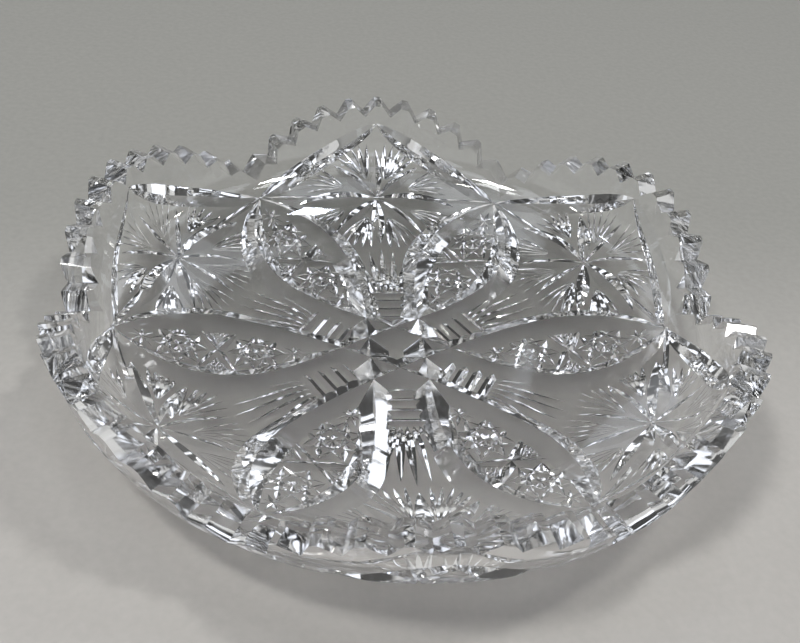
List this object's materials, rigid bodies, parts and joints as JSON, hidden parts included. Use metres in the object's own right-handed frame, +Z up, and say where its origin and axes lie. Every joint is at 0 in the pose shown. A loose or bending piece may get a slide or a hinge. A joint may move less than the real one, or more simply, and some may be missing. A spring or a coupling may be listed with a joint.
{
  "type": "cut glass bowl",
  "caption": "Low cut-crystal bowl: smooth inside, petals, hobstars and large stars cut deep into the outside, scalloped sawtooth rim.",
  "frame": {"origin": "centre of the resting face", "axes": "+Z up along the bowl's axis; +X through one petal tip and the rim dip above it"},
  "size_m": [0.1958, 0.2032, 0.0401],
  "materials": {
    "crystal": "polished"
  },
  "bodies": {
    "root": {"bowl": "crystal"}
  },
  "joints": []
}
